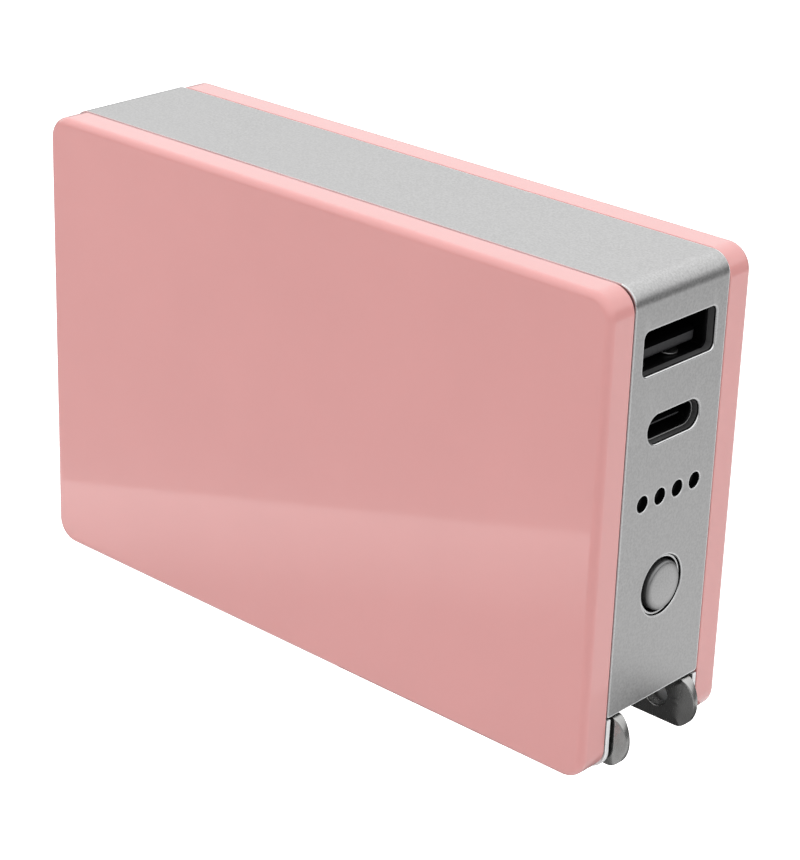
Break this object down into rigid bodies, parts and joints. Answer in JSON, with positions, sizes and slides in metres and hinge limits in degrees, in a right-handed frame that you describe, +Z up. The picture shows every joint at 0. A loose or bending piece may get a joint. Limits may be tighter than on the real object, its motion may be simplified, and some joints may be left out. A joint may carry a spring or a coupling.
{
  "type": "power bank",
  "caption": "Pocket power bank: glossy shells on a metal band, fold-out two-blade mains plug, USB-A and USB-C ports, charge lights and a push button.",
  "frame": {"origin": "centre of the bottom of the whole object with the plug folded, on the ground plane", "axes": "+X along the long side towards the end with the ports, +Y through the thickness towards the back shell, +Z up, away from the side the plug folds out of"},
  "size_m": [0.0904, 0.025, 0.0579],
  "materials": {
    "pink_gloss": "high-gloss moulded polycarbonate",
    "satin_metal": "fine bead-blasted satin",
    "white_plastic": "smooth moulded",
    "black_plastic": "fine moulded texture",
    "dark_lens": "polished smoked light pipe",
    "nickel": "bright nickel plating",
    "spring_bronze": "rolled phosphor bronze",
    "gold": "gold flash",
    "steel": "zinc plated",
    "board_green": "solder mask on glass laminate",
    "ferrite": "sintered ferrite",
    "tape_yellow": "polyester winding tape",
    "can_blue": "shrink sleeve",
    "chip_black": "moulded epoxy",
    "fuse_tan": "ceramic tube",
    "pouch": "laminated foil pouch",
    "foam_grey": "closed-cell foam",
    "sheet_amber": "polyimide sheet",
    "led_white": "phosphor window",
    "wire_red": "extruded silicone sleeve",
    "wire_black": "extruded silicone sleeve",
    "wire_blue": "extruded silicone sleeve"
  },
  "bodies": {
    "housing": {"ac_lead_back": "wire_blue", "ac_lead_front": "wire_black", "back_shell": "pink_gloss", "battery_cell_back": "pouch", "battery_cell_front": "pouch", "battery_lead_black": "wire_black", "battery_lead_red": "wire_red", "board_header": "black_plastic", "bulk_capacitor_1": "can_blue", "bulk_capacitor_2": "can_blue", "contact_spring_back": "spring_bronze", "contact_spring_front": "spring_bronze", "controller_chip": "chip_black", "detent_spring": "spring_bronze", "drum_inductor": "ferrite", "foam_pad_back": "foam_grey", "foam_pad_centre": "foam_grey", "foam_pad_front": "foam_grey", "front_shell": "pink_gloss", "fuse": "fuse_tan", "insulation_sheet": "sheet_amber", "led_chip_1": "led_white", "led_chip_2": "led_white", "led_chip_3": "led_white", "led_chip_4": "led_white", "led_window_1": "dark_lens", "led_window_2": "dark_lens", "led_window_3": "dark_lens", "led_window_4": "dark_lens", "middle_frame": "satin_metal", "plug_bay": "white_plastic", "port_board": "board_green", "port_board_screw_1": "steel", "port_board_screw_2": "steel", "power_board": "board_green", "power_board_screw_1": "steel", "power_board_screw_2": "steel", "power_board_screw_3": "steel", "power_board_screw_4": "steel", "power_inductor": "ferrite", "protection_board": "board_green", "switch_body": "chip_black", "transformer_core": "ferrite", "transformer_winding": "tape_yellow", "usb_a_contact_1": "gold", "usb_a_contact_2": "gold", "usb_a_contact_3": "gold", "usb_a_contact_4": "gold", "usb_a_shell": "nickel", "usb_a_tongue": "black_plastic", "usb_c_shell": "nickel", "usb_c_tongue": "black_plastic"},
    "plug": {"plug_carrier": "black_plastic", "blade_front": "nickel", "blade_back": "nickel"},
    "button": {"power_button": "satin_metal", "switch_plunger": "black_plastic"}
  },
  "joints": [
    {"name": "plug_fold", "type": "hinge", "parent": "housing", "child": "plug", "pos_m": [0.02485, 0, 0.0034], "axis": [0, 1, 0], "range_deg": [0, 90]},
    {"name": "button_press", "type": "slide", "parent": "housing", "child": "button", "axis": [-1, 0, 0], "range_m": [0, 0.0005], "stiffness_N_per_m": 100}
  ]
}
